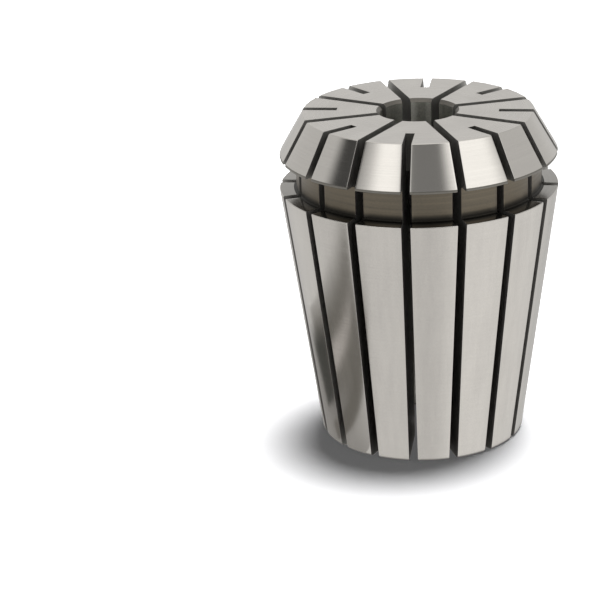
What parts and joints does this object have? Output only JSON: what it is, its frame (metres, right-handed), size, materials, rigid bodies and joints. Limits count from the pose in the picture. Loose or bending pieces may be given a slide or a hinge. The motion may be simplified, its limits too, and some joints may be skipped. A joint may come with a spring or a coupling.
{
  "type": "er collet",
  "caption": "Slit spring collet with a long taper, nose cone and extraction groove, which clamps a round tool shank in its bore.",
  "frame": {"origin": "centre of the tail face, on the axis of the bore", "axes": "+Z along the bore from the tail towards the nose; one of the cuts that run out of the tail faces -Y"},
  "size_m": [0.0332, 0.0332, 0.04],
  "materials": {
    "collet_steel": "ground"
  },
  "bodies": {
    "root": {"collet": "collet_steel"}
  },
  "joints": []
}
